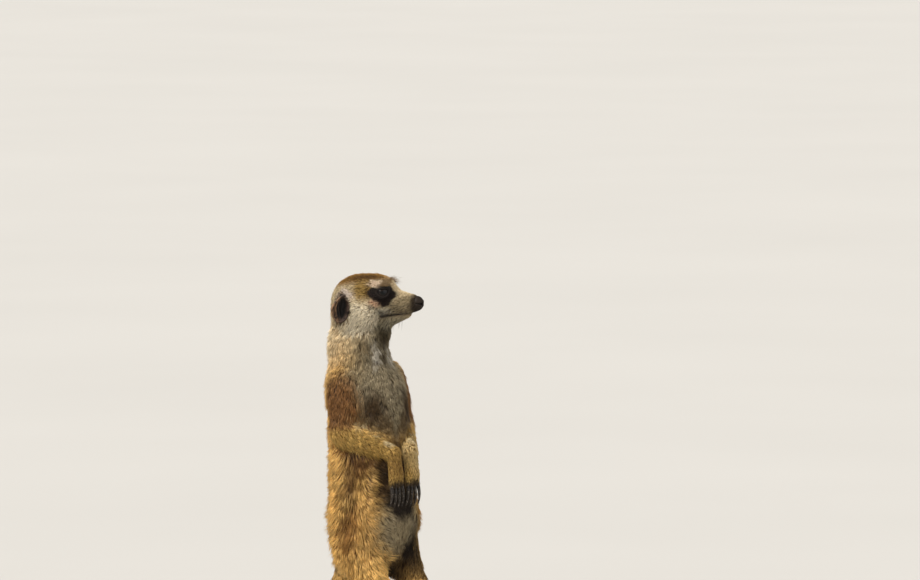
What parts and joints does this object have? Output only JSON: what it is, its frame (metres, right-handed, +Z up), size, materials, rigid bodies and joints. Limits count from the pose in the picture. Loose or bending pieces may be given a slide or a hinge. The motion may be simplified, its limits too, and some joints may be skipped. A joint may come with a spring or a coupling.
{
  "type": "meerkat",
  "caption": "Life-size model of a meerkat standing upright on its hind feet, head turned to its left, forepaws held before the belly, tail lying out behind.",
  "frame": {"origin": "on the floor, under the middle of the whole footprint", "axes": "+Z up; the animal's body faces -Y, its left side is +X, and the tail lies towards +Y"},
  "size_m": [0.1086, 0.2468, 0.3149],
  "materials": {
    "coat": "golden-brown fur",
    "pale_coat": "short cream and grey fur",
    "limb_coat": "short yellow-tan fur",
    "dark_skin": "soft, matt, black-brown",
    "nose_skin": "damp, dark brown",
    "eye": "polished, dark brown",
    "claw": "horn, dark, slightly polished"
  },
  "bodies": {
    "root": {"head": "pale_coat", "ear_left": "dark_skin", "ear_right": "dark_skin", "eye_left": "eye", "eye_right": "eye", "nose": "nose_skin", "neck": "pale_coat", "torso": "coat", "upper_arm_left": "coat", "upper_arm_right": "coat", "forearm_left": "limb_coat", "forearm_right": "limb_coat", "hand_left": "limb_coat", "hand_right": "limb_coat", "front_claw_left_1": "claw", "front_claw_left_2": "claw", "front_claw_left_3": "claw", "front_claw_left_4": "claw", "front_claw_right_1": "claw", "front_claw_right_2": "claw", "front_claw_right_3": "claw", "front_claw_right_4": "claw", "thigh_left": "coat", "thigh_right": "coat", "shank_left": "limb_coat", "shank_right": "limb_coat", "foot_left": "limb_coat", "foot_right": "limb_coat", "hind_claw_left_1": "claw", "hind_claw_left_2": "claw", "hind_claw_left_3": "claw", "hind_claw_left_4": "claw", "hind_claw_right_1": "claw", "hind_claw_right_2": "claw", "hind_claw_right_3": "claw", "hind_claw_right_4": "claw", "tail_base": "coat", "tail_middle": "coat", "tail_tip": "coat"}
  },
  "joints": []
}
